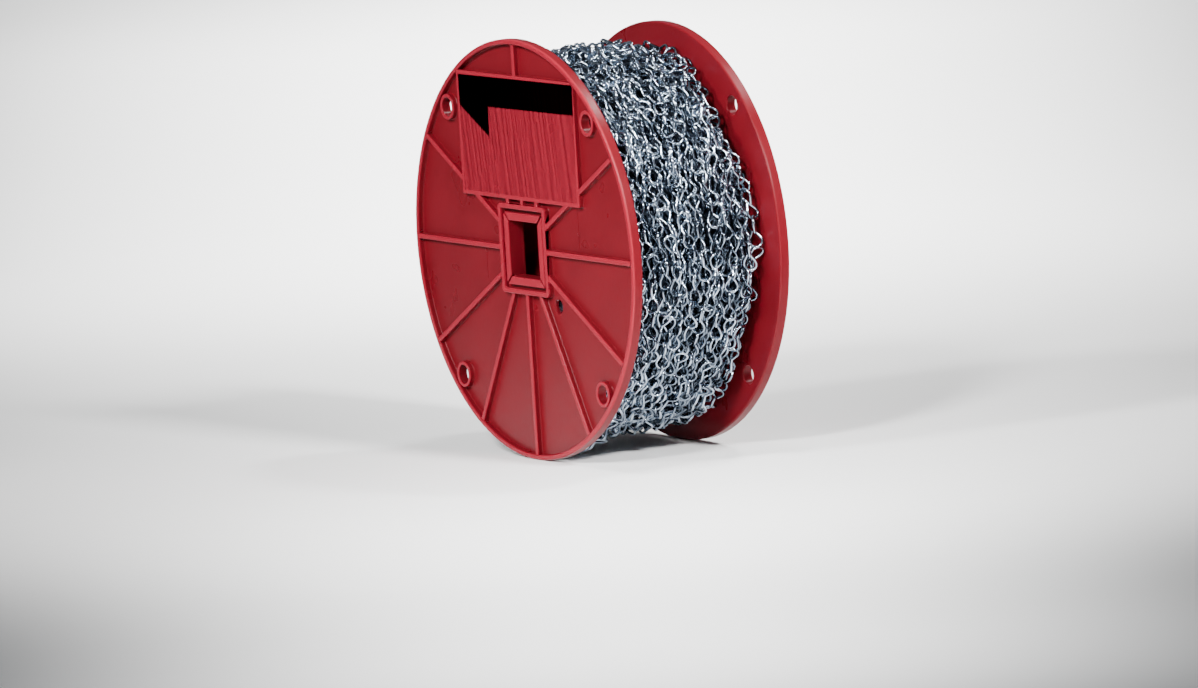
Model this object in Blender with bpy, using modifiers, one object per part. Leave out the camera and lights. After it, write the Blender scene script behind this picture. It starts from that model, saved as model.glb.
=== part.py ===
# Plastic reel of single jack chain, standing on its two rims
# Metres, +Z up, the reel's axis along Y, the labelled face towards -Y

import bmesh
import bpy
import math
from mathutils import Matrix

# Flange disc
FLANGE_R = 0.1016
RIM_STEPS = 96
LIP_PLANE = 0.0437
LIP_WIDTH = 0.0024
LIP_ROUND = 0.0010
LIP_ROUND_MID = 0.0003
WEB_OUT = 0.0406
WEB_IN = 0.0383
CENTRE_Z = FLANGE_R * math.cos(math.pi / RIM_STEPS)

# Barrel, one half on each flange
BARREL_R = 0.0300
BARREL_WALL = 0.0025
SEAM_GAP = 0.0003
TURN_BORE_R = 0.0100

# Ribs on the outer face
RIB_TOP = 0.0433
RIB_WIDTH = 0.0024
EMBED = 0.0005
RIB_START_R = 0.0160
RIB_END_R = 0.1000
LOWER_RIB_ANGLES = (180, -150, -120, -90, -60, -30, 0)
CUT_RIB_ANGLES = (30, 150)

# Label frame and label
FRAME_HALF = 0.0543
FRAME_BOTTOM = 0.0238
FRAME_TOP = 0.0843
FRAME_CORNER_OVERRUN = 0.0004
TOP_RIB_START = 0.0832
LABEL_WIDTH = 0.1016
LABEL_HEIGHT = 0.0508
LABEL_THICK = 0.0003
LABEL_CLEARANCE = 0.0002
LABEL_CENTRE_Z = 0.0553
LABEL_SHIFT_X = -0.0004
LABEL_CORNER = 0.0030
LABEL_TILT = math.radians(0.5)

# Hub boss, its groove and pads, and the square spindle bore
BOSS_SIDE = 0.0434
BOSS_FRONT = 0.0440
BOSS_CORNER = 0.0025
RECESS_SIDE = 0.0386
RECESS_FLOOR = 0.0412
PAD_FRONT = 0.0434
PAD_OUTER_HALF = 0.0175
BORE_SIDE = 0.0272
MITRE_GAP = 0.0008
COLLAR_SIDE = 0.0322
COLLAR_END = 0.0346
SHORT_RIB_X = (-0.0133, 0.0, 0.0133)
CUT_OVERRUN = 0.0020
CORNER_SEGMENTS = 3

# Holes
RIM_HOLE_R = 0.0046
RIM_BOSS_R = 0.00625
RIM_HOLE_CENTRE_R = 0.0920
RIM_HOLE_ANGLES = (45, 135, -135, -45)
RIM_HOLE_STEPS = 24
ANCHOR_HOLE_R = 0.0035
ANCHOR_HOLE_X = 0.0250
ANCHOR_HOLE_Z = -0.0260

# Chain winding, a turned solid with one ridge for each strand
WINDING_CLEARANCE = 0.0003
WINDING_CROWN_R = 0.0880
WINDING_VALLEY_DEPTH = 0.0018
WINDING_STRANDS = 14
WINDING_STEPS = 54
WINDING_LAYERS = 5
LAYER_GROOVE = 0.0008

SMOOTH_ANGLE = math.radians(30)
UPRIGHT = 0.99
MERGE = 0.00001

PLASTIC = ("red_plastic", (0.43, 0.018, 0.030, 1.0), 0.28, 0.0)
PAPER = ("label_paper", (0.88, 0.88, 0.87, 1.0), 0.45, 0.0)
STEEL = ("zinc_steel", (0.42, 0.46, 0.52, 1.0), 0.32, 1.0)


# Scene and materials

def clear_scene():
    for obj in list(bpy.data.objects):
        bpy.data.objects.remove(obj, do_unlink=True)


def make_collection(name):
    group = bpy.data.collections.new(name)
    bpy.context.scene.collection.children.link(group)
    return group


def make_material(spec):
    name, colour, roughness, metallic = spec
    mat = bpy.data.materials.new(name)
    mat.use_nodes = True
    shader = mat.node_tree.nodes["Principled BSDF"]
    shader.inputs["Base Color"].default_value = colour
    shader.inputs["Roughness"].default_value = roughness
    shader.inputs["Metallic"].default_value = metallic
    mat.diffuse_color = colour
    return mat


# Mesh helpers

def link_mesh(name, mesh, group):
    obj = bpy.data.objects.new(name, mesh)
    group.objects.link(obj)
    return obj


def mesh_from_bmesh(bm, name, group):
    bmesh.ops.recalc_face_normals(bm, faces=bm.faces)
    mesh = bpy.data.meshes.new(name)
    bm.to_mesh(mesh)
    bm.free()
    return link_mesh(name, mesh, group)


def apply_modifiers(obj):
    graph = bpy.context.evaluated_depsgraph_get()
    mesh = bpy.data.meshes.new_from_object(obj.evaluated_get(graph))
    obj.modifiers.clear()
    obj.data = mesh


def box(name, centre, size, group, turn=0.0):
    bm = bmesh.new()
    bmesh.ops.create_cube(bm, size=1.0)
    place = Matrix.Translation(centre) @ Matrix.Rotation(turn, 4, "Z") @ Matrix.Diagonal((*size, 1.0))
    bmesh.ops.transform(bm, matrix=place, verts=bm.verts)
    return mesh_from_bmesh(bm, name, group)


def square_block(name, side, low, high, group, corner=0.0):
    centre = (0.0, 0.0, (low + high) / 2)
    block = box(name, centre, (side, side, high - low), group)
    if corner > 0.0:
        round_upright_edges(block, corner)
    return block


def round_upright_edges(obj, radius):
    bm = bmesh.new()
    bm.from_mesh(obj.data)
    upright = [e for e in bm.edges if abs((e.verts[0].co - e.verts[1].co).normalized().z) > UPRIGHT]
    bmesh.ops.bevel(bm, geom=upright, offset=radius, segments=CORNER_SEGMENTS, profile=0.5, affect="EDGES")
    bm.to_mesh(obj.data)
    bm.free()


def cylinder(name, centre, radius, low, high, group):
    bm = bmesh.new()
    bmesh.ops.create_cone(
        bm, cap_ends=True, segments=RIM_HOLE_STEPS, radius1=radius, radius2=radius, depth=high - low)
    place = Matrix.Translation((centre[0], centre[1], (low + high) / 2))
    bmesh.ops.transform(bm, matrix=place, verts=bm.verts)
    return mesh_from_bmesh(bm, name, group)


def prism(name, outline, low, high, group):
    bm = bmesh.new()
    base = bm.faces.new([bm.verts.new((x, y, low)) for x, y in outline])
    raised = bmesh.ops.extrude_face_region(bm, geom=[base])
    top = [item for item in raised["geom"] if isinstance(item, bmesh.types.BMVert)]
    bmesh.ops.translate(bm, vec=(0.0, 0.0, high - low), verts=top)
    return mesh_from_bmesh(bm, name, group)


def turned(name, profile, steps, group):
    mesh = bpy.data.meshes.new(name)
    count = len(profile)
    edges = [(i, (i + 1) % count) for i in range(count)]
    mesh.from_pydata([(r, 0.0, h) for r, h in profile], edges, [])
    obj = link_mesh(name, mesh, group)
    screw = obj.modifiers.new("turn", "SCREW")
    screw.axis = "Z"
    screw.steps = steps
    screw.render_steps = steps
    screw.use_merge_vertices = True
    screw.merge_threshold = MERGE
    screw.use_normal_calculate = True
    apply_modifiers(obj)
    bm = bmesh.new()
    bm.from_mesh(obj.data)
    bmesh.ops.recalc_face_normals(bm, faces=bm.faces)
    bm.to_mesh(obj.data)
    bm.free()
    return obj


def combine(target, tool, operation):
    mod = target.modifiers.new(operation.lower(), "BOOLEAN")
    mod.operation = operation
    mod.solver = "EXACT"
    mod.object = tool
    apply_modifiers(target)


def finish(obj, material):
    obj.data.materials.clear()
    obj.data.materials.append(material)
    for face in obj.data.polygons:
        face.material_index = 0
        face.use_smooth = True
    obj.data.set_sharp_from_angle(angle=SMOOTH_ANGLE)


# Reel half, built with its outer face up and then stood upright

def flange_disc(group):
    lip_inner = FLANGE_R - LIP_WIDTH
    barrel_inner = BARREL_R - BARREL_WALL
    profile = [
        (TURN_BORE_R, WEB_OUT),
        (lip_inner, WEB_OUT),
        (lip_inner, LIP_PLANE),
        (FLANGE_R - LIP_ROUND, LIP_PLANE),
        (FLANGE_R - LIP_ROUND_MID, LIP_PLANE - LIP_ROUND_MID),
        (FLANGE_R, LIP_PLANE - LIP_ROUND),
        (FLANGE_R, WEB_IN),
        (BARREL_R, WEB_IN),
        (BARREL_R, SEAM_GAP / 2),
        (barrel_inner, SEAM_GAP / 2),
        (barrel_inner, WEB_IN),
        (TURN_BORE_R, WEB_IN),
    ]
    disc = turned("disc", profile, RIM_STEPS, group)
    disc.data.transform(Matrix.Rotation(math.pi / RIM_STEPS, 4, "Z"))
    return disc


def radial_rib(angle, start, end, group):
    turn = math.radians(angle)
    middle = (start + end) / 2
    centre = (middle * math.cos(turn), middle * math.sin(turn), (WEB_OUT - EMBED + RIB_TOP) / 2)
    size = (end - start, RIB_WIDTH, RIB_TOP - WEB_OUT + EMBED)
    return box("rib", centre, size, group, turn)


def cut_rib_parts(angle, group):
    slope = math.radians(angle)
    into_floor = (FRAME_BOTTOM + RIB_WIDTH / 2) / math.sin(slope)
    out_of_side = (FRAME_HALF - RIB_WIDTH / 2) / abs(math.cos(slope))
    inner = radial_rib(angle, RIB_START_R, into_floor, group)
    outer = radial_rib(angle, out_of_side, RIB_END_R, group)
    return [inner, outer]


def frame_wall(low_x, high_x, low_y, high_y, group):
    centre = ((low_x + high_x) / 2, (low_y + high_y) / 2, (WEB_OUT - EMBED + RIB_TOP) / 2)
    size = (high_x - low_x, high_y - low_y, RIB_TOP - WEB_OUT + EMBED)
    return box("frame_wall", centre, size, group)


def label_frame(group):
    top = FRAME_TOP - FRAME_CORNER_OVERRUN
    inner_half = FRAME_HALF - RIB_WIDTH
    inner_bottom = FRAME_BOTTOM + RIB_WIDTH
    bottom_wall = frame_wall(-FRAME_HALF, FRAME_HALF, FRAME_BOTTOM, inner_bottom, group)
    top_wall = frame_wall(-FRAME_HALF, FRAME_HALF, top - RIB_WIDTH, top, group)
    left_wall = frame_wall(-FRAME_HALF, -inner_half, FRAME_BOTTOM + EMBED, top - EMBED, group)
    right_wall = frame_wall(inner_half, FRAME_HALF, FRAME_BOTTOM + EMBED, top - EMBED, group)
    return [bottom_wall, top_wall, left_wall, right_wall]


def short_ribs(group):
    low = BOSS_SIDE / 2 - EMBED
    high = FRAME_BOTTOM + EMBED
    half = RIB_WIDTH / 2
    return [frame_wall(x - half, x + half, low, high, group) for x in SHORT_RIB_X]


def rim_hole_centre(angle):
    turn = math.radians(angle)
    return (RIM_HOLE_CENTRE_R * math.cos(turn), RIM_HOLE_CENTRE_R * math.sin(turn))


def rim_bosses(group):
    low = WEB_OUT - EMBED
    return [cylinder("rim_boss", rim_hole_centre(a), RIM_BOSS_R, low, RIB_TOP, group) for a in RIM_HOLE_ANGLES]


def hub_pad(turn, group):
    inner = BORE_SIDE / 2 - CUT_OVERRUN
    outline = [
        (-inner + MITRE_GAP, inner),
        (inner - MITRE_GAP, inner),
        (PAD_OUTER_HALF - MITRE_GAP, PAD_OUTER_HALF),
        (-PAD_OUTER_HALF + MITRE_GAP, PAD_OUTER_HALF),
    ]
    pad = prism("hub_pad", outline, RECESS_FLOOR - EMBED, PAD_FRONT, group)
    pad.data.transform(Matrix.Rotation(turn, 4, "Z"))
    return pad


def add_ribs_and_walls(half, tools):
    added = [radial_rib(a, RIB_START_R, RIB_END_R, tools) for a in LOWER_RIB_ANGLES]
    for angle in CUT_RIB_ANGLES:
        added += cut_rib_parts(angle, tools)
    added.append(radial_rib(90, TOP_RIB_START, RIB_END_R, tools))
    added += label_frame(tools)
    added += short_ribs(tools)
    added += rim_bosses(tools)
    for piece in added:
        combine(half, piece, "UNION")


def add_hub(half, tools):
    boss = square_block("boss", BOSS_SIDE, WEB_OUT - EMBED, BOSS_FRONT, tools, BOSS_CORNER)
    recess = square_block("recess", RECESS_SIDE, RECESS_FLOOR, BOSS_FRONT + CUT_OVERRUN, tools)
    collar = square_block("collar", COLLAR_SIDE, COLLAR_END, WEB_IN + EMBED, tools)
    bore = square_block("bore", BORE_SIDE, COLLAR_END - CUT_OVERRUN, BOSS_FRONT + CUT_OVERRUN, tools)
    combine(half, boss, "UNION")
    combine(half, collar, "UNION")
    combine(half, recess, "DIFFERENCE")
    for quarter in range(4):
        combine(half, hub_pad(quarter * math.pi / 2, tools), "UNION")
    combine(half, bore, "DIFFERENCE")


def cut_holes(half, tools):
    low = WEB_IN - CUT_OVERRUN
    high = BOSS_FRONT + CUT_OVERRUN
    holes = [cylinder("rim_hole", rim_hole_centre(a), RIM_HOLE_R, low, high, tools) for a in RIM_HOLE_ANGLES]
    anchor = (ANCHOR_HOLE_X, ANCHOR_HOLE_Z)
    holes.append(cylinder("anchor_hole", anchor, ANCHOR_HOLE_R, low, high, tools))
    for hole in holes:
        combine(half, hole, "DIFFERENCE")


def reel_half(name, material, group, tools):
    half = flange_disc(group)
    add_ribs_and_walls(half, tools)
    add_hub(half, tools)
    cut_holes(half, tools)
    half.name = name
    half.data.name = name
    finish(half, material)
    return half


def stand_up(obj, heading):
    obj.location = (0.0, 0.0, CENTRE_Z)
    obj.rotation_euler = (math.pi / 2, 0.0, heading)


# Label and winding

def product_label(material, group):
    low = WEB_OUT + LABEL_CLEARANCE
    high = low + LABEL_THICK
    label = box("product_label", (0.0, 0.0, (low + high) / 2), (LABEL_WIDTH, LABEL_HEIGHT, LABEL_THICK), group)
    round_upright_edges(label, LABEL_CORNER)
    place = Matrix.Translation((LABEL_SHIFT_X, LABEL_CENTRE_Z, 0.0)) @ Matrix.Rotation(LABEL_TILT, 4, "Z")
    label.data.transform(place)
    finish(label, material)
    return label


def winding_profile():
    half = WEB_IN - WINDING_CLEARANCE
    bore = BARREL_R + WINDING_CLEARANCE
    valley = WINDING_CROWN_R - WINDING_VALLEY_DEPTH
    strand = 2 * half / WINDING_STRANDS
    layer = (valley - bore) / WINDING_LAYERS
    top_end = []
    for i in range(WINDING_LAYERS):
        top_end.append((bore + i * layer, half - LAYER_GROOVE))
        top_end.append((bore + (i + 0.5) * layer, half))
    outer = [(valley, half - LAYER_GROOVE)]
    for i in range(WINDING_STRANDS):
        outer.append((WINDING_CROWN_R, half - (i + 0.5) * strand))
        if i < WINDING_STRANDS - 1:
            outer.append((valley, half - (i + 1) * strand))
    outer.append((valley, -half + LAYER_GROOVE))
    bottom_end = [(r, -h) for r, h in reversed(top_end)]
    return top_end + outer + bottom_end


def chain_winding(material, group):
    winding = turned("chain_winding", winding_profile(), WINDING_STEPS, group)
    finish(winding, material)
    return winding


def build():
    clear_scene()
    parts = make_collection("reel_of_jack_chain")
    tools = make_collection("cutters")
    red = make_material(PLASTIC)
    front = reel_half("front_reel_half", red, parts, tools)
    back = link_mesh("back_reel_half", front.data, parts)
    label = product_label(make_material(PAPER), parts)
    winding = chain_winding(make_material(STEEL), parts)
    stand_up(front, 0.0)
    stand_up(back, math.pi)
    stand_up(label, 0.0)
    stand_up(winding, 0.0)
    for tool in tools.objects:
        tool.hide_render = True
        tool.display_type = "WIRE"


build()
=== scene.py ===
import math

import bmesh
import bpy
import numpy as np
from mathutils import Matrix, Vector


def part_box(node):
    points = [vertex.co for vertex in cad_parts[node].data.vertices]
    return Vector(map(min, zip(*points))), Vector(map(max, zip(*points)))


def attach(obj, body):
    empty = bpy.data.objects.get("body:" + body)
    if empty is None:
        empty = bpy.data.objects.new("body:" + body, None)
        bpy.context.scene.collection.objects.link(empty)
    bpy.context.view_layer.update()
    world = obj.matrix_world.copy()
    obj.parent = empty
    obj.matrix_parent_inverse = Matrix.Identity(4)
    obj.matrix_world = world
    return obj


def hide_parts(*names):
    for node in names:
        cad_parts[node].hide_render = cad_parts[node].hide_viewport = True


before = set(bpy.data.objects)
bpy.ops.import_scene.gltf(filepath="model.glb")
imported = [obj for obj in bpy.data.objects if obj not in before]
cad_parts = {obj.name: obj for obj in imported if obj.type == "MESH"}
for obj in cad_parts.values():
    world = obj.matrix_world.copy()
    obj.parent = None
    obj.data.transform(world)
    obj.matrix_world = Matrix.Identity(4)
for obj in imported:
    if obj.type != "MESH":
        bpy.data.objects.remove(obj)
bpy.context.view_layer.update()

mm = 0.001
frontLow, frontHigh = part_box("front_reel_half")
windLow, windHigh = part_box("chain_winding")
centreZ = (windLow[2] + windHigh[2]) / 2   # height of the reel's axis
print("frame loaded, axis at", round(centreZ, 5))


# Camera. Found from the rims' outlines: the reel is seen from the right of its label
cameraSetup = {
    "azimuth": 59.31,       # degrees round from straight on
    "elevation": 6.7,
    "roll": -3.56,
    "distance": 8.0,
    "pixelsPerMetre": 2082.0,
    "reelPixel": (601.2, 239.8),   # where the reel's middle falls
    "imageSize": (1198, 688),
    "sensor": 36.0,
}


def placeCamera(setup):
    az, el, roll = (math.radians(setup[k]) for k in ("azimuth", "elevation", "roll"))
    ahead = Vector((-math.sin(az) * math.cos(el), math.cos(az) * math.cos(el), -math.sin(el)))
    level = Vector((math.cos(az), math.sin(az), 0.0))
    up = level.cross(ahead)
    right = math.cos(roll) * level + math.sin(roll) * up
    up = -math.sin(roll) * level + math.cos(roll) * up
    reelMiddle = Vector((0.0, 0.0, centreZ))
    spot = reelMiddle - ahead * setup["distance"]
    # the aim leaves the reel's middle at its pixel, so no shift is needed
    px, py = setup["reelPixel"]
    wide, tall = setup["imageSize"]
    aim = reelMiddle + right * (wide / 2 - px) / setup["pixelsPerMetre"]
    aim += up * (py - tall / 2) / setup["pixelsPerMetre"]
    ahead = (aim - spot).normalized()
    right = (right - ahead * right.dot(ahead)).normalized()
    up = right.cross(ahead)
    data = bpy.data.cameras.new("reelCamera")
    data.sensor_width = setup["sensor"]
    data.lens = setup["sensor"] * setup["distance"] * setup["pixelsPerMetre"] / wide
    data.clip_end = 100.0
    camera = bpy.data.objects.new("reelCamera", data)
    turn = Matrix((right, up, -ahead)).transposed().to_4x4()
    camera.matrix_world = Matrix.Translation(spot) @ turn
    bpy.context.scene.collection.objects.link(camera)
    bpy.context.scene.camera = camera


placeCamera(cameraSetup)


# Materials
def linear(hexColour):
    parts = [int(hexColour[i:i + 2], 16) / 255 for i in (1, 3, 5)]
    return [c / 12.92 if c <= 0.04045 else ((c + 0.055) / 1.055) ** 2.4 for c in parts] + [1.0]


def addNode(tree, kind, inputs=None, **settings):
    node = tree.nodes.new(kind)
    for name, value in settings.items():
        setattr(node, name, value)
    for socket, value in (inputs or {}).items():
        if isinstance(value, bpy.types.NodeSocket):
            tree.links.new(value, node.inputs[socket])
        else:
            node.inputs[socket].default_value = value
    return node


def startMaterial(name):
    material = bpy.data.materials.new(name)
    material.use_nodes = True
    tree = material.node_tree
    tree.nodes.clear()
    shader = addNode(tree, "ShaderNodeBsdfPrincipled")
    addNode(tree, "ShaderNodeOutputMaterial", {"Surface": shader.outputs[0]})
    place = addNode(tree, "ShaderNodeTexCoord").outputs["Object"]
    return material, tree, shader, place


def ramp(tree, source, low, high, lowColour, highColour):
    node = addNode(tree, "ShaderNodeValToRGB", {"Fac": source})
    node.color_ramp.elements[0].position = low
    node.color_ramp.elements[1].position = high
    node.color_ramp.elements[0].color = lowColour
    node.color_ramp.elements[1].color = highColour
    return node.outputs["Color"]


redPlastic = {
    "colour": "#620e18",
    "shade": "#5c0d16",
    # painted highlight: faces standing out past this depth get the lighter red on the next line
    "raised": (42.6 * mm, 43.1 * mm),
    "paintedHighlightColour": "#831827",
    "roughness": (0.26, 0.38),
    "mottleSize": 28 * mm,      # slow flow marks of the moulding
    "rippleSize": 2.4 * mm,     # faint orange peel
    "scratchWidth": 0.4 * mm,   # short scratches that all lean one way
    "scratchLength": 16 * mm,
}


def mouldedPolystyreneRed(look):
    # Injection-moulded high-impact polystyrene: an even, deep red with a soft gloss
    material, tree, shader, place = startMaterial("mouldedPolystyreneRed")
    mottle = addNode(tree, "ShaderNodeTexNoise", {"Vector": place, "Scale": 1 / look["mottleSize"], "Detail": 3.0})
    colour = ramp(tree, mottle.outputs["Fac"], 0.35, 0.68, linear(look["shade"]), linear(look["colour"]))
    # painted highlight: rib tops, lips and the other raised faces get a lighter red than the panels, standing in for
    # the light they catch
    depth = addNode(tree, "ShaderNodeSeparateXYZ", {"Vector": place})
    outward = addNode(tree, "ShaderNodeMath", {0: depth.outputs["Y"]}, operation="ABSOLUTE")
    raised = addNode(tree, "ShaderNodeMapRange", {
        "Value": outward.outputs[0], "From Min": look["raised"][0], "From Max": look["raised"][1], "To Min": 0.0, "To Max": 1.0})
    colourWithPaintedHighlight = addNode(tree, "ShaderNodeMix", {
        "Factor": raised.outputs[0], "A": colour, "B": linear(look["paintedHighlightColour"])}, data_type="RGBA")
    tree.links.new(colourWithPaintedHighlight.outputs["Result"], shader.inputs["Base Color"])
    ripple = addNode(tree, "ShaderNodeTexNoise", {"Vector": place, "Scale": 1 / look["rippleSize"], "Detail": 1.0})
    # rotated first and stretched after, so the streaks lean
    leaning = addNode(tree, "ShaderNodeMapping", {
        "Vector": place, "Rotation": (0.0, math.radians(24), 0.0),
        "Scale": (look["scratchWidth"], look["scratchWidth"], look["scratchLength"])}, vector_type="TEXTURE")
    streak = addNode(tree, "ShaderNodeTexNoise", {"Vector": leaning.outputs[0], "Scale": 1.0, "Detail": 0.0})
    rub = addNode(tree, "ShaderNodeMapRange", {
        "Value": streak.outputs["Fac"], "From Min": 0.74, "From Max": 0.80, "To Min": 0.0, "To Max": 1.0})
    gloss = addNode(tree, "ShaderNodeMapRange", {
        "Value": mottle.outputs["Fac"], "From Min": 0.3, "From Max": 0.7,
        "To Min": look["roughness"][0], "To Max": look["roughness"][1]})
    rough = addNode(tree, "ShaderNodeMath", {0: rub.outputs[0], 1: 0.06, 2: gloss.outputs[0]}, operation="MULTIPLY_ADD")
    tree.links.new(rough.outputs[0], shader.inputs["Roughness"])
    height = addNode(tree, "ShaderNodeMath", {0: rub.outputs[0], 1: -0.25, 2: ripple.outputs["Fac"]},
                     operation="MULTIPLY_ADD")
    bump = addNode(tree, "ShaderNodeBump", {"Height": height.outputs[0], "Strength": 0.10, "Distance": 0.2 * mm})
    tree.links.new(bump.outputs[0], shader.inputs["Normal"])
    shader.inputs["IOR"].default_value = 1.59
    shader.inputs["Specular IOR Level"].default_value = 0.10   # the fine moulded texture weakens the mirror image
    return material


zincWire = {
    "bright": "#bfcddd",
    "dull": "#525d6b",
    "roughness": (0.15, 0.26),
    "patchSize": 9 * mm,        # plating varies from link to link
    "drawLineSize": 0.6 * mm,   # die lines along the drawn wire, coarser than real ones so they show
}


# painted shade: the same wire further down, given darker colours that stand in for the shade between the turns
midWirePaintedShade = dict(zincWire, bright="#8592a1", dull="#3c4652", roughness=(0.2, 0.32))
deepWirePaintedShade = dict(zincWire, bright="#4c5866", dull="#252c35", roughness=(0.30, 0.45))


def brightZincPlatedWire(name, look):
    # Drawn low-carbon steel wire, electroplated with zinc: silver with a cold blue cast
    material, tree, shader, place = startMaterial(name)
    patch = addNode(tree, "ShaderNodeTexNoise", {"Vector": place, "Scale": 1 / look["patchSize"], "Detail": 2.0})
    colour = ramp(tree, patch.outputs["Fac"], 0.36, 0.64, linear(look["dull"]), linear(look["bright"]))
    tree.links.new(colour, shader.inputs["Base Color"])
    lines = addNode(tree, "ShaderNodeTexNoise", {"Vector": place, "Scale": 1 / look["drawLineSize"], "Detail": 2.0})
    rough = addNode(tree, "ShaderNodeMapRange", {
        "Value": lines.outputs["Fac"], "From Min": 0.3, "From Max": 0.7,
        "To Min": look["roughness"][0], "To Max": look["roughness"][1]})
    tree.links.new(rough.outputs[0], shader.inputs["Roughness"])
    bump = addNode(tree, "ShaderNodeBump", {"Height": lines.outputs["Fac"], "Strength": 0.15, "Distance": 0.05 * mm})
    tree.links.new(bump.outputs[0], shader.inputs["Normal"])
    shader.inputs["Metallic"].default_value = 1.0
    return material


deepChain = {"dark": "#0d1218", "light": "#38424f", "grain": 3.2 * mm}


def shadowedZincChain(look):
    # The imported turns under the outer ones, which get almost no light: dark blue-grey metal
    material, tree, shader, place = startMaterial("shadowedZincChain")
    grain = addNode(tree, "ShaderNodeTexVoronoi", {"Vector": place, "Scale": 1 / look["grain"]})
    colour = ramp(tree, grain.outputs["Distance"], 0.15, 0.75, linear(look["light"]), linear(look["dark"]))
    tree.links.new(colour, shader.inputs["Base Color"])
    bump = addNode(tree, "ShaderNodeBump", {"Height": grain.outputs["Distance"], "Strength": 0.8, "Distance": 1.2 * mm})
    tree.links.new(bump.outputs[0], shader.inputs["Normal"])
    shader.inputs["Metallic"].default_value = 0.8
    shader.inputs["Roughness"].default_value = 0.5
    return material


labelPaper = {"white": "#fbfafb", "shade": "#f4f3f4", "fibre": 0.9 * mm, "ink": "#4a4c52"}


def coatedLabelPaper(look):
    # Coated sticker paper: white, almost smooth, with a weak satin shine
    material, tree, shader, place = startMaterial("coatedLabelPaper")
    fibre = addNode(tree, "ShaderNodeTexNoise", {"Vector": place, "Scale": 1 / look["fibre"], "Detail": 4.0})
    colour = ramp(tree, fibre.outputs["Fac"], 0.3, 0.7, linear(look["shade"]), linear(look["white"]))
    tree.links.new(colour, shader.inputs["Base Color"])
    bump = addNode(tree, "ShaderNodeBump", {"Height": fibre.outputs["Fac"], "Strength": 0.08, "Distance": 0.05 * mm})
    tree.links.new(bump.outputs[0], shader.inputs["Normal"])
    shader.inputs["Roughness"].default_value = 0.42
    shader.inputs["IOR"].default_value = 1.50
    return material


def printedInk(look):
    # Thermal print: a dark grey that is a little broken up by the paper
    material, tree, shader, place = startMaterial("printedInk")
    breakUp = addNode(tree, "ShaderNodeTexNoise", {"Vector": place, "Scale": 1 / (0.7 * mm), "Detail": 3.0})
    colour = ramp(tree, breakUp.outputs["Fac"], 0.35, 0.75, linear(look["ink"]), linear("#70727a"))
    tree.links.new(colour, shader.inputs["Base Color"])
    shader.inputs["Roughness"].default_value = 0.5
    return material


redMaterial = mouldedPolystyreneRed(redPlastic)
wireMaterial = brightZincPlatedWire("brightZincPlatedWire", zincWire)
# painted shade: the second and lower turns get darker copies of the same wire
secondWirePaintedShadeMaterial = brightZincPlatedWire("secondTurnsZincWirePaintedShade", midWirePaintedShade)
lowerWirePaintedShadeMaterial = brightZincPlatedWire("lowerTurnsZincWirePaintedShade", deepWirePaintedShade)
deepMaterial = shadowedZincChain(deepChain)
paperMaterial = coatedLabelPaper(labelPaper)
inkMaterial = printedInk(labelPaper)
print("materials made")


# Mesh helpers
def newObject(name, mesh, material=None):
    piece = bpy.data.objects.new(name, mesh)
    bpy.context.scene.collection.objects.link(piece)
    if material:
        mesh.materials.append(material)
    return piece


def bmeshObject(bm, name, material=None):
    bmesh.ops.recalc_face_normals(bm, faces=bm.faces)
    mesh = bpy.data.meshes.new(name)
    bm.to_mesh(mesh)
    bm.free()
    return newObject(name, mesh, material)


def applyModifiers(piece):
    graph = bpy.context.evaluated_depsgraph_get()
    mesh = bpy.data.meshes.new_from_object(piece.evaluated_get(graph))
    piece.modifiers.clear()
    piece.data = mesh


def joinTo(target, tool, operation="UNION"):
    mod = target.modifiers.new("join", "BOOLEAN")
    mod.operation = operation
    mod.solver = "EXACT"
    mod.object = tool
    applyModifiers(target)
    bpy.data.objects.remove(tool, do_unlink=True)


def block(centre, size, turn=0.0):
    bm = bmesh.new()
    bmesh.ops.create_cube(bm, size=1.0)
    place = Matrix.Translation(centre) @ Matrix.Rotation(turn, 4, "Z") @ Matrix.Diagonal((*size, 1.0))
    bmesh.ops.transform(bm, matrix=place, verts=bm.verts)
    return bmeshObject(bm, "block")


def roundUpright(piece, radius, segments):
    bm = bmesh.new()
    bm.from_mesh(piece.data)
    upright = [e for e in bm.edges if abs((e.verts[0].co - e.verts[1].co).normalized().z) > 0.99]
    bmesh.ops.bevel(bm, geom=upright, offset=radius, segments=segments, profile=0.5, affect="EDGES")
    bm.to_mesh(piece.data)
    bm.free()
    return piece


def rod(centre, radius, low, high, segments):
    bm = bmesh.new()
    bmesh.ops.create_cone(bm, cap_ends=True, segments=segments, radius1=radius, radius2=radius, depth=high - low)
    bmesh.ops.translate(bm, vec=(centre[0], centre[1], (low + high) / 2), verts=bm.verts)
    return bmeshObject(bm, "rod")


def lathe(profile, steps):
    # the profile is a closed loop of (radius, height) in the XZ plane
    bm = bmesh.new()
    ring = [bm.verts.new((r, 0.0, h)) for r, h in profile]
    edges = [bm.edges.new((ring[i], ring[(i + 1) % len(ring)])) for i in range(len(ring))]
    bmesh.ops.spin(bm, geom=ring + edges, cent=(0, 0, 0), axis=(0, 0, 1), angle=2 * math.pi, steps=steps)
    bmesh.ops.remove_doubles(bm, verts=bm.verts, dist=1e-6)
    return bmeshObject(bm, "lathe")


def smoothShade(piece, degrees):
    for face in piece.data.polygons:
        face.use_smooth = True
    piece.data.set_sharp_from_angle(angle=math.radians(degrees))


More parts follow.
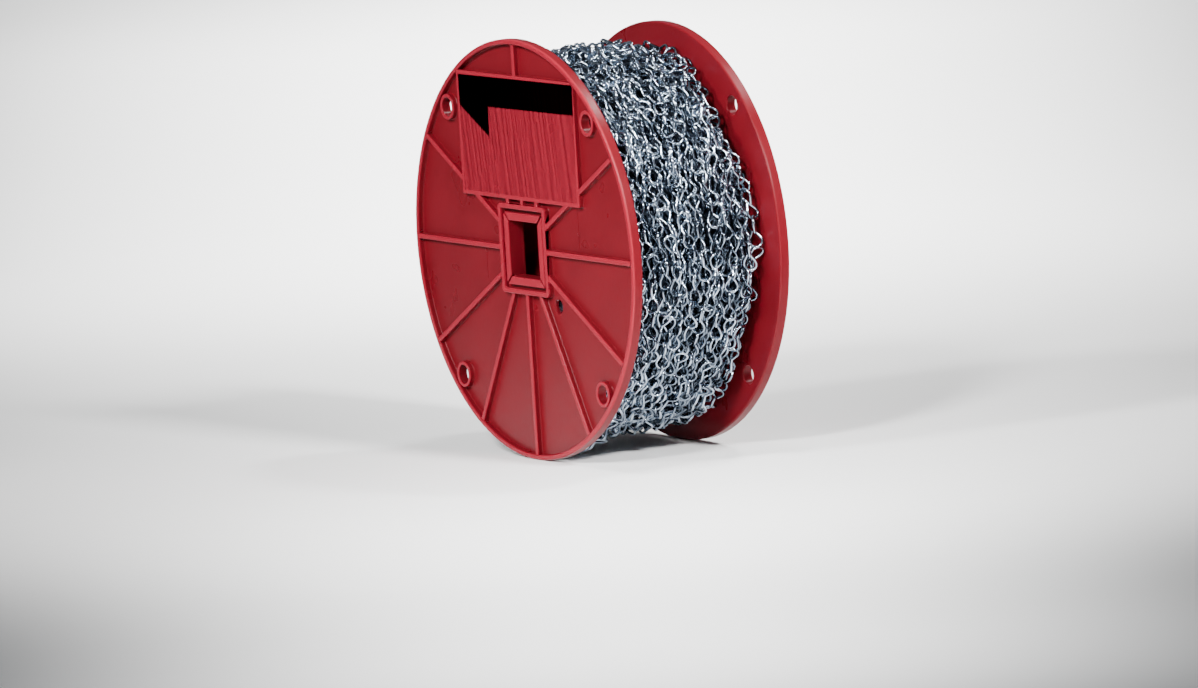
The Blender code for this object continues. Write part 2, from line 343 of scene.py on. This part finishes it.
# Reel halves, made with the outer face up and then stood upright
reelShape = {
    "flangeRadius": (frontHigh[2] - frontLow[2]) / 2,
    "rimSteps": 240,
    "lipPlane": 43.7 * mm,
    "lipWidth": 2.4 * mm,
    "lipRound": 1.0 * mm,
    "webOut": 40.6 * mm,
    "webIn": 38.3 * mm,
    "barrelRadius": 30.0 * mm,
    "barrelWall": 2.5 * mm,
    "seam": 0.15 * mm,
    "ribTop": 43.3 * mm,
    "ribWidth": 2.4 * mm,
    "embed": 0.5 * mm,
    "ribStart": 16.0 * mm,
    "ribEnd": 100.0 * mm,
    "lowerRibs": (180, -150, -120, -90, -60, -30, 0),
    "cutRibs": (30, 150),
    "frameHalf": 54.3 * mm,
    "frameBottom": 23.8 * mm,
    "frameTop": 83.9 * mm,
    "bossSide": 43.4 * mm,
    "bossFront": 44.0 * mm,
    "bossCorner": 2.5 * mm,
    "recessSide": 38.6 * mm,
    "recessFloor": 41.2 * mm,
    "padFront": 43.4 * mm,
    "padOuter": 17.5 * mm,
    "mitreGap": 0.8 * mm,
    "boreSide": 27.2 * mm,
    "collarSide": 32.2 * mm,
    "collarEnd": 34.6 * mm,
    "shortRibs": (-13.3 * mm, 0.0, 13.3 * mm),
    "rimHoleRadius": 4.6 * mm,
    "rimBossRadius": 6.25 * mm,
    "rimHoleCentre": 92.0 * mm,
    "rimHoleAngles": (45, 135, -135, -45),
    "anchorHole": (25.0 * mm, -26.0 * mm, 3.5 * mm),
    "edgeRound": 0.45 * mm,
    # faint moulding marks on the panels: across, height of the middle, length, height of the dot on the line
    "mouldMarks": ((47.8 * mm, 13.0 * mm, 19.0 * mm, 10.5 * mm), (-40.0 * mm, -8.0 * mm, 17.0 * mm, -3.0 * mm)),
}


def makeRib(s, angle, start, end):
    turn = math.radians(angle)
    low = s["webOut"] - s["embed"]
    middle = (start + end) / 2
    centre = (middle * math.cos(turn), middle * math.sin(turn), (low + s["ribTop"]) / 2)
    return block(centre, (end - start, s["ribWidth"], s["ribTop"] - low), turn)


def makeWall(s, lowX, highX, lowY, highY):
    low = s["webOut"] - s["embed"]
    centre = ((lowX + highX) / 2, (lowY + highY) / 2, (low + s["ribTop"]) / 2)
    return block(centre, (highX - lowX, highY - lowY, s["ribTop"] - low))


def squareBlock(side, low, high, corner=0.0):
    piece = block((0, 0, (low + high) / 2), (side, side, high - low))
    return roundUpright(piece, corner, 5) if corner else piece


def makePad(s, turn):
    inner = s["boreSide"] / 2 - 2 * mm
    outer = s["padOuter"]
    gap = s["mitreGap"]
    bm = bmesh.new()
    outline = ((-inner + gap, inner), (inner - gap, inner), (outer - gap, outer), (-outer + gap, outer))
    face = bm.faces.new([bm.verts.new((x, y, s["recessFloor"] - s["embed"])) for x, y in outline])
    raised = bmesh.ops.extrude_face_region(bm, geom=[face])
    top = [v for v in raised["geom"] if isinstance(v, bmesh.types.BMVert)]
    bmesh.ops.translate(bm, vec=(0, 0, s["padFront"] - s["recessFloor"] + s["embed"]), verts=top)
    bmesh.ops.rotate(bm, cent=(0, 0, 0), matrix=Matrix.Rotation(turn, 3, "Z"), verts=bm.verts)
    return bmeshObject(bm, "pad")


def makeFlange(s):
    r = s["flangeRadius"]
    lip = r - s["lipWidth"]
    inner = s["barrelRadius"] - s["barrelWall"]
    rounding = [(r - s["lipRound"] * (1 - math.sin(a)), s["lipPlane"] - s["lipRound"] * (1 - math.cos(a)))
                for a in np.linspace(0, math.pi / 2, 6)]
    foot = 0.5 * mm
    profile = [(10 * mm, s["webOut"]), (lip, s["webOut"]), (lip, s["lipPlane"])] + rounding
    profile += [(r, s["webIn"] + foot), (r - foot, s["webIn"]), (s["barrelRadius"], s["webIn"]),
                (s["barrelRadius"], s["seam"]), (inner, s["seam"]), (inner, s["webIn"]), (10 * mm, s["webIn"])]
    return lathe(profile, s["rimSteps"])


def makeReelHalf(s):
    half = makeFlange(s)
    added = [makeRib(s, a, s["ribStart"], s["ribEnd"]) for a in s["lowerRibs"]]
    for angle in s["cutRibs"]:
        slope = math.radians(angle)
        added.append(makeRib(s, angle, s["ribStart"], (s["frameBottom"] + s["ribWidth"] / 2) / math.sin(slope)))
        added.append(makeRib(s, angle, (s["frameHalf"] - s["ribWidth"] / 2) / abs(math.cos(slope)), s["ribEnd"]))
    added.append(makeRib(s, 90, s["frameTop"] - s["ribWidth"] / 2, s["ribEnd"]))
    side, wall = s["frameHalf"], s["ribWidth"]
    low, high, grip = s["frameBottom"], s["frameTop"], s["embed"]
    added += [makeWall(s, -side, side, low, low + wall), makeWall(s, -side, side, high - wall, high),
              makeWall(s, -side, -side + wall, low + grip, high - grip),
              makeWall(s, side - wall, side, low + grip, high - grip)]
    for x in s["shortRibs"]:
        added.append(makeWall(s, x - wall / 2, x + wall / 2, s["bossSide"] / 2 - grip, low + grip))
    holes = [(s["rimHoleCentre"] * math.cos(math.radians(a)), s["rimHoleCentre"] * math.sin(math.radians(a)))
             for a in s["rimHoleAngles"]]
    for spot in holes:
        added.append(rod(spot, s["rimBossRadius"], s["webOut"] - grip, s["ribTop"], 48))
    added.append(squareBlock(s["bossSide"], s["webOut"] - grip, s["bossFront"], s["bossCorner"]))
    added.append(squareBlock(s["collarSide"], s["collarEnd"], s["webIn"] + grip))
    for tool in added:
        joinTo(half, tool)
    joinTo(half, squareBlock(s["recessSide"], s["recessFloor"], s["bossFront"] + 2 * mm), "DIFFERENCE")
    for quarter in range(4):
        joinTo(half, makePad(s, quarter * math.pi / 2))
    joinTo(half, squareBlock(s["boreSide"], s["collarEnd"] - 2 * mm, s["bossFront"] + 2 * mm), "DIFFERENCE")
    for spot in holes:
        joinTo(half, rod(spot, s["rimHoleRadius"], s["webIn"] - 2 * mm, s["bossFront"], 40), "DIFFERENCE")
    x, y, radius = s["anchorHole"]
    joinTo(half, rod((x, y), radius, s["webIn"] - 2 * mm, s["bossFront"], 36), "DIFFERENCE")
    tidyMesh(half)
    bevel = half.modifiers.new("mouldedEdges", "BEVEL")
    bevel.width = s["edgeRound"]
    bevel.segments = 3
    bevel.limit_method = "ANGLE"
    bevel.angle_limit = math.radians(40)
    bevel.use_clamp_overlap = False
    applyModifiers(half)
    smoothShade(half, 50)
    flat = half.modifiers.new("flatPanels", "WEIGHTED_NORMAL")   # keeps the panels flat beside their rounded edges
    flat.weight = 100
    flat.keep_sharp = True
    applyModifiers(half)
    return half


def makeMouldMarks(s):
    bm = bmesh.new()
    for x, middle, length, dot in s["mouldMarks"]:
        line = bmesh.ops.create_cube(bm, size=1.0)
        shape = Matrix.Translation((x, middle, s["webOut"])) @ Matrix.Diagonal((0.35 * mm, length, 0.22 * mm, 1.0))
        bmesh.ops.transform(bm, matrix=shape, verts=line["verts"])
        button = bmesh.ops.create_uvsphere(bm, u_segments=20, v_segments=12, radius=1.0)
        shape = Matrix.Translation((x, dot, s["webOut"])) @ Matrix.Diagonal((0.9 * mm, 0.9 * mm, 0.35 * mm, 1.0))
        bmesh.ops.transform(bm, matrix=shape, verts=button["verts"])
    return bmeshObject(bm, "mouldMarks")


def tidyMesh(piece):
    bm = bmesh.new()
    bm.from_mesh(piece.data)
    bmesh.ops.remove_doubles(bm, verts=bm.verts, dist=2e-5)
    bmesh.ops.dissolve_limit(bm, angle_limit=math.radians(0.4), verts=bm.verts, edges=bm.edges, delimit={"NORMAL"})
    bm.to_mesh(piece.data)
    bm.free()


def standUp(piece, heading):
    upright = Matrix.Rotation(heading, 4, "Z") @ Matrix.Rotation(math.pi / 2, 4, "X")
    piece.data.transform(Matrix.Translation((0, 0, centreZ)) @ upright)


def dressReel():
    front = makeReelHalf(reelShape)
    front.name = "frontFlange"
    back = newObject("backFlange", front.data.copy())
    marks = makeMouldMarks(reelShape)
    smoothShade(marks, 40)
    backMarks = newObject("backMouldMarks", marks.data.copy())
    for piece, heading, node in ((front, 0.0, "front_reel_half"), (back, math.pi, "back_reel_half"),
                                 (marks, 0.0, "front_reel_half"), (backMarks, math.pi, "back_reel_half")):
        standUp(piece, heading)
        piece.data.materials.clear()
        piece.data.materials.append(redMaterial)
        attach(piece, "root")
        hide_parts(node)
    print("reel halves made,", len(front.data.polygons), "faces each")


dressReel()


# Label
labelShape = {
    "width": 101.6 * mm, "height": 50.8 * mm, "thick": 0.18 * mm, "corner": 3.0 * mm,
    "middle": (0.0 * mm, 55.0 * mm), "tilt": -1.1, "face": 40.65 * mm,
    # plain ruled bars stand where print would be: x, y, length, height from the label's middle
    "rules": ((-47, 6.4, 45, 3.4), (-47, 1.4, 14, 3.4), (-47, -3.6, 66, 1.3), (-47, -6.4, 43, 1.3),
              (-47, -12.6, 16, 2.6), (-21, -11.6, 23, 1.6), (-21, -15.0, 12, 1.6), (-47, -19.6, 28, 1.3)),
    "emptyBox": (14.0, 47.0, -22.0, -8.6, 0.5),   # left, right, bottom, top and line width
}


def makeLabel(s):
    paper = roundUpright(block((0, 0, s["thick"] / 2), (s["width"], s["height"], s["thick"])), s["corner"], 8)
    paper.name = "labelSticker"
    ink = bmesh.new()
    left, right, bottom, top, line = s["emptyBox"]
    border = ((left, bottom, right - left, line), (left, top, right - left, line),
              (left, (bottom + top) / 2, line, top - bottom), (right, (bottom + top) / 2, line, top - bottom))
    for x, y, length, height in s["rules"] + border:
        made = bmesh.ops.create_cube(ink, size=1.0)
        lift = s["thick"] + 0.01 * mm
        place = Matrix.Translation(((x + length / 2) * mm, y * mm, lift)) @ Matrix.Diagonal(
            (length * mm, height * mm, 0.04 * mm, 1.0))
        bmesh.ops.transform(ink, matrix=place, verts=made["verts"])
    print_ = bmeshObject(ink, "labelRules", inkMaterial)
    lay = Matrix.Translation((*s["middle"], s["face"])) @ Matrix.Rotation(math.radians(s["tilt"]), 4, "Z")
    for piece in (paper, print_):
        piece.data.transform(lay)
        standUp(piece, 0.0)
        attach(piece, "root")
    paper.data.materials.append(paperMaterial)
    smoothShade(paper, 40)
    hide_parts("product_label")
    print("label made")


makeLabel(labelShape)


# Chain. One link is a figure of eight bent from a single wire, its two loops a quarter turn apart
linkShape = {
    "wire": 1.32 * mm,
    "pitch": 13.5 * mm,
    "startSpot": (19.9 * mm, -37.2 * mm, -26.0 * mm),
    "startTurn": 12,
    "fine": (7, 25),      # sides and rings of the wire's mesh in the outer turns
    "plain": (5, 17),     # and in the turns below, which only show through gaps
    # half of the wire's middle line, from the crossing round one loop to the cut end, along and across, in mm
    "loop": ((0, 0), (1.15, -0.95), (2.9, -2.45), (4.9, -3.05), (6.7, -2.2), (7.53, 0.0),
             (6.7, 2.2), (4.9, 3.1), (2.9, 2.75), (1.1, 1.75), (-0.35, 1.15)),
}

windingShape = {
    "seed": 11,
    "outerRadius": 86.4 * mm,     # middle of the outermost strands
    "layerDrop": 3.7 * mm,
    "turns": (12.5, 14, 15, 15, 15),   # from the outermost layer inwards
    "halfWidth": 33.9 * mm,
    "wanderAcross": 2.6 * mm,
    "wanderOut": 1.1 * mm,
    "bulge": {"top": 4.4 * mm, "side": -0.6 * mm},   # the pile stands higher at the top than at the sides
    "edgeDrop": 1.5 * mm,        # the pile is lower along both flanges
    "looseness": 0.6 * mm,
    "tilt": 7,                   # degrees that a slack link leans off the strand
    "rollSlow": 1.0,
    "rollFast": 0.45,
    "looseTurn": {"angle": -84, "spread": 22, "drop": 8.0 * mm, "from": 0.6},
    "edgeLoose": {"from": 0.72, "out": 5.0 * mm, "angle": -14, "spread": 20},   # loops that stand out by the far flange
    "calm": 0.45,                # the lower half was wound under tension and wanders less
    "perPiece": 520,
}


def smoothLine(points, count):
    # Catmull-Rom through the points, then even steps along it
    pts = np.array(points, float)
    ends = np.vstack([2 * pts[0] - pts[1], pts, 2 * pts[-1] - pts[-2]])
    fine = []
    for i in range(len(pts) - 1):
        p0, p1, p2, p3 = ends[i:i + 4]
        for t in np.linspace(0, 1, 12, endpoint=False):
            fine.append(0.5 * (2 * p1 + (p2 - p0) * t + (2 * p0 - 5 * p1 + 4 * p2 - p3) * t ** 2
                               + (3 * p1 - p0 - 3 * p2 + p3) * t ** 3))
    fine.append(pts[-1])
    fine = np.array(fine)
    run = np.concatenate([[0], np.cumsum(np.linalg.norm(np.diff(fine, axis=0), axis=1))])
    at = np.linspace(0, run[-1], count)
    return np.stack([np.interp(at, run, fine[:, k]) for k in range(3)], 1)


def linkTemplate(s, detail):
    sides, count = detail
    loop = np.array(s["loop"]) * mm
    nearSide = np.stack([loop[:, 0], loop[:, 1], np.zeros(len(loop))], 1)
    # the other loop is the same one turned end for end and a quarter round
    farSide = np.stack([-loop[:, 0], np.zeros(len(loop)), -loop[:, 1]], 1)
    line = smoothLine(np.vstack([farSide[::-1], nearSide[1:]]), count)
    along = np.gradient(line, axis=0)
    along /= np.linalg.norm(along, axis=1)[:, None]
    side = np.array([0.3, 0.5, 0.8])
    rings = []
    for centre, t in zip(line, along):
        side = side - t * side.dot(t)   # carried along without twisting
        side /= np.linalg.norm(side)
        other = np.cross(t, side)
        turn = np.arange(sides) * 2 * math.pi / sides
        rings.append(centre + s["wire"] / 2 * (np.outer(np.cos(turn), side) + np.outer(np.sin(turn), other)))
    verts = np.vstack(rings)
    quads = [[i * sides + j, i * sides + (j + 1) % sides, (i + 1) * sides + (j + 1) % sides, (i + 1) * sides + j]
             for i in range(count - 1) for j in range(sides)]
    return verts, np.array(quads), [list(range(sides))[::-1], list(range((count - 1) * sides, count * sides))]


def waves(rng, count, period, low=2, high=7):
    # smooth noise made of a few slow waves
    x = np.arange(count) / period
    total = np.zeros(count)
    for _ in range(9):
        total += rng.normal() * np.sin(2 * math.pi * (x * rng.uniform(low, high) + rng.random()))
    return total / 3


def strandPath(s, pitch, rng):
    spots, rolls = [], []
    for layer, turns in enumerate(s["turns"]):
        radius = s["outerRadius"] - layer * s["layerDrop"]
        perTurn = 2 * math.pi * radius / pitch
        count = int(perTurn * turns)
        angle = np.arange(count) * 2 * math.pi / perTurn + layer * 1.3
        across = np.linspace(-1, 1, count) * s["halfWidth"] * (1 if layer % 2 == 0 else -1)
        rise = np.sin(angle)
        slack = s["calm"] + (1 - s["calm"]) * (0.5 + 0.5 * rise)
        across += s["wanderAcross"] * slack * waves(rng, count, perTurn)
        across += s["looseness"] * rng.normal(size=count)
        r = radius + s["wanderOut"] * waves(rng, count, perTurn) + s["looseness"] * 0.6 * rng.normal(size=count)
        r += s["bulge"]["side"] + (s["bulge"]["top"] - s["bulge"]["side"]) * rise ** 2
        r -= s["edgeDrop"] * np.abs(across / s["halfWidth"]) ** 3
        if layer == 0:
            loose = s["looseTurn"]
            off = (np.degrees(angle) - loose["angle"] + 180) % 360 - 180
            first = across < -s["halfWidth"] * loose["from"]
            r += first * loose["drop"] * np.exp(-(off / loose["spread"]) ** 2)
            edge = np.clip((across / s["halfWidth"] - s["edgeLoose"]["from"]) / (1 - s["edgeLoose"]["from"]), 0, 1)
            off = (np.degrees(angle) - s["edgeLoose"]["angle"] + 180) % 360 - 180
            edge *= np.exp(-(off / s["edgeLoose"]["spread"]) ** 2)
            r += s["edgeLoose"]["out"] * edge * rng.random(count) ** 2
        limit = s["halfWidth"] + 0.35 * mm
        across = np.clip(across, -limit, limit)
        spots.append(np.stack([r * np.cos(angle), across, centreZ + r * np.sin(angle)], 1))
        rolls.append(math.pi / 4 + s["rollSlow"] * waves(rng, count, perTurn, 3, 11)
                     + s["rollFast"] * rng.normal(size=count))
    return spots, rolls


def linkFrames(spots, rolls, tilt, rng):
    frames = []
    for line, roll in zip(spots, rolls):
        along = np.gradient(line, axis=0)
        along /= np.linalg.norm(along, axis=1)[:, None]
        along += math.tan(math.radians(tilt)) * rng.normal(size=along.shape)
        along /= np.linalg.norm(along, axis=1)[:, None]
        out = line - np.array([0, 0, centreZ])
        out[:, 1] = 0
        out -= along * (out * along).sum(1)[:, None]
        out /= np.linalg.norm(out, axis=1)[:, None]
        side = np.cross(out, along)
        c, sn = np.cos(roll)[:, None], np.sin(roll)[:, None]
        first, second = c * side + sn * out, -sn * side + c * out
        second = np.cross(along, first)
        frames.append((line, np.stack([along, first, second], 1)))
    return frames


def meshLinks(name, spots, axes, template, material):
    verts, quads, caps = template
    count, size = len(spots), len(verts)
    placed = spots[:, None, :] + np.einsum("vk,lkj->lvj", verts, axes)
    shift = np.arange(count)[:, None, None] * size
    allQuads = (quads[None] + shift).reshape(-1)
    allCaps = (np.array(caps)[None] + shift).reshape(-1)
    sides = len(caps[0])
    loops = np.concatenate([allQuads, allCaps])
    starts = np.concatenate([np.arange(count * len(quads)) * 4,
                             count * len(quads) * 4 + np.arange(count * 2) * sides])
    mesh = bpy.data.meshes.new(name)
    mesh.vertices.add(count * size)
    mesh.vertices.foreach_set("co", placed.reshape(-1).astype(np.float32))
    mesh.loops.add(len(loops))
    mesh.loops.foreach_set("vertex_index", loops.astype(np.int32))
    mesh.polygons.add(len(starts))
    mesh.polygons.foreach_set("loop_start", starts.astype(np.int32))
    mesh.update(calc_edges=True)
    mesh.validate()
    mesh.polygons.foreach_set("use_smooth", np.ones(len(mesh.polygons), bool))
    mesh.set_sharp_from_angle(angle=math.radians(60))
    piece = newObject(name, mesh, material)
    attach(piece, "root")
    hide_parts("chain_winding")
    return piece


def makeWinding(s, link):
    rng = np.random.default_rng(s["seed"])
    frames = linkFrames(*strandPath(s, link["pitch"], rng), s["tilt"], rng)
    made = []
    # the second layer and the ones below use the darker painted-shade copies of the wire
    for part, detail, material in ((frames[:1], link["fine"], wireMaterial),
                                   (frames[1:2], link["fine"], secondWirePaintedShadeMaterial),
                                   (frames[2:], link["plain"], lowerWirePaintedShadeMaterial)):
        spots = np.vstack([f[0] for f in part])
        axes = np.vstack([f[1] for f in part])
        template = linkTemplate(link, detail)
        for group in np.array_split(np.arange(len(spots)), math.ceil(len(spots) / s["perPiece"])):
            name = "jackChain%d" % (len(made) + 1)
            made.append(meshLinks(name, spots[group], axes[group], template, material))
    # the starting link, which shows through the hole beside the hub
    turn = math.radians(link["startTurn"])
    along, up = np.array([math.cos(turn), -math.sin(turn), 0.0]), np.array([0.0, 0.0, 1.0])
    x, y, z = link["startSpot"]
    made.append(meshLinks("startLink", np.array([[x, y, centreZ + z]]), np.array([[along, up, np.cross(along, up)]]),
                          linkTemplate(link, link["fine"]), wireMaterial))
    links = sum(len(f[0]) for f in frames)
    print("chain wound,", links, "links in", len(made), "pieces")


makeWinding(windingShape, linkShape)


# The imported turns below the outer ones
coreShape = {"radius": 71.0 * mm, "bore": 30.3 * mm, "half": 37.9 * mm, "ridges": 14, "steps": 160, "bump": 1.2 * mm}


def makeCore(s):
    profile = [(s["bore"], s["half"])]
    for i in range(8):
        r = s["bore"] + (s["radius"] - s["bore"]) * (i + 0.5) / 8
        profile += [(r, s["half"] - 0.6 * mm), (r + 2 * mm, s["half"])]
    for i in range(s["ridges"] * 3 + 1):
        y = s["half"] * (1 - 2 * i / (s["ridges"] * 3)) * 0.985
        profile.append((s["radius"] + s["bump"] * math.cos(2 * math.pi * i / 3), y))
    for i in reversed(range(8)):
        r = s["bore"] + (s["radius"] - s["bore"]) * (i + 0.5) / 8
        profile += [(r + 2 * mm, -s["half"]), (r, -s["half"] + 0.6 * mm)]
    profile.append((s["bore"], -s["half"]))
    core = lathe(profile, s["steps"])
    core.name = "packedTurns"
    standUp(core, 0.0)
    core.data.materials.append(deepMaterial)
    smoothShade(core, 60)
    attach(core, "root")
    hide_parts("chain_winding")
    print("core made")


makeCore(coreShape)


# Studio
studio = {"floor": "#f4f4f3", "world": "#eef2f7", "worldPower": 0.20}


def makeStudio(s):
    material, tree, shader, place = startMaterial("paleStudioFloor")
    grain = addNode(tree, "ShaderNodeTexNoise", {"Vector": place, "Scale": 3.0, "Detail": 2.0})
    colour = ramp(tree, grain.outputs["Fac"], 0.3, 0.7, linear("#f2f2f1"), linear(s["floor"]))
    tree.links.new(colour, shader.inputs["Base Color"])
    shader.inputs["Roughness"].default_value = 0.9
    bm = bmesh.new()
    bmesh.ops.create_grid(bm, x_segments=8, y_segments=8, size=40.0)
    floor = bmeshObject(bm, "studioFloor", material)
    world = bpy.data.worlds.new("studioWorld")
    world.use_nodes = True
    sky = world.node_tree.nodes["Background"]
    sky.inputs["Color"].default_value = linear(s["world"])
    sky.inputs["Strength"].default_value = s["worldPower"]
    bpy.context.scene.world = world


def softbox(name, spot, target, size, power, spread, turn=0.0):
    data = bpy.data.lights.new(name, "AREA")
    data.shape = "RECTANGLE"
    data.size, data.size_y = size
    data.energy = power
    data.spread = math.radians(spread)
    lamp = bpy.data.objects.new(name, data)
    lamp.location = spot
    aim = (Vector(target) - Vector(spot)).to_track_quat("-Z", "Y").to_matrix()
    lamp.rotation_euler = (Matrix.Rotation(math.radians(turn), 3, "Z") @ aim).to_euler()
    bpy.context.scene.collection.objects.link(lamp)


makeStudio(studio)
softbox("keyLight", (1.0, -1.35, 1.15), (0.06, -0.02, 0.13), (0.3, 0.3), 1.4, 24)
softbox("fillLight", (0.1, -1.9, 1.25), (0.02, 0, 0.15), (0.35, 0.35), 1.1, 24)
softbox("topLight", (0.15, 0.8, 1.6), (0.02, 0, 0.1), (0.2, 0.2), 0.5, 30)
softbox("sideLight", (1.45, 0.14, 1.0), (0.05, 0, 0.12), (0.22, 0.22), 1.8, 30)
softbox("farFloorLight", (-4.3, 2.53, 2.4), (-4.3, 2.53, 0), (4.6, 0.8), 115, 34, -30.5)
softbox("nearFloorLight", (-1.2, 0.71, 2.4), (-1.2, 0.71, 0), (1.8, 0.1), 21, 24, -30.5)
softbox("frontFloorLight", (0.46, -0.27, 1.7), (0.46, -0.27, 0), (0.7, 0.2), 2.5, 18, -30.5)
print("studio made")
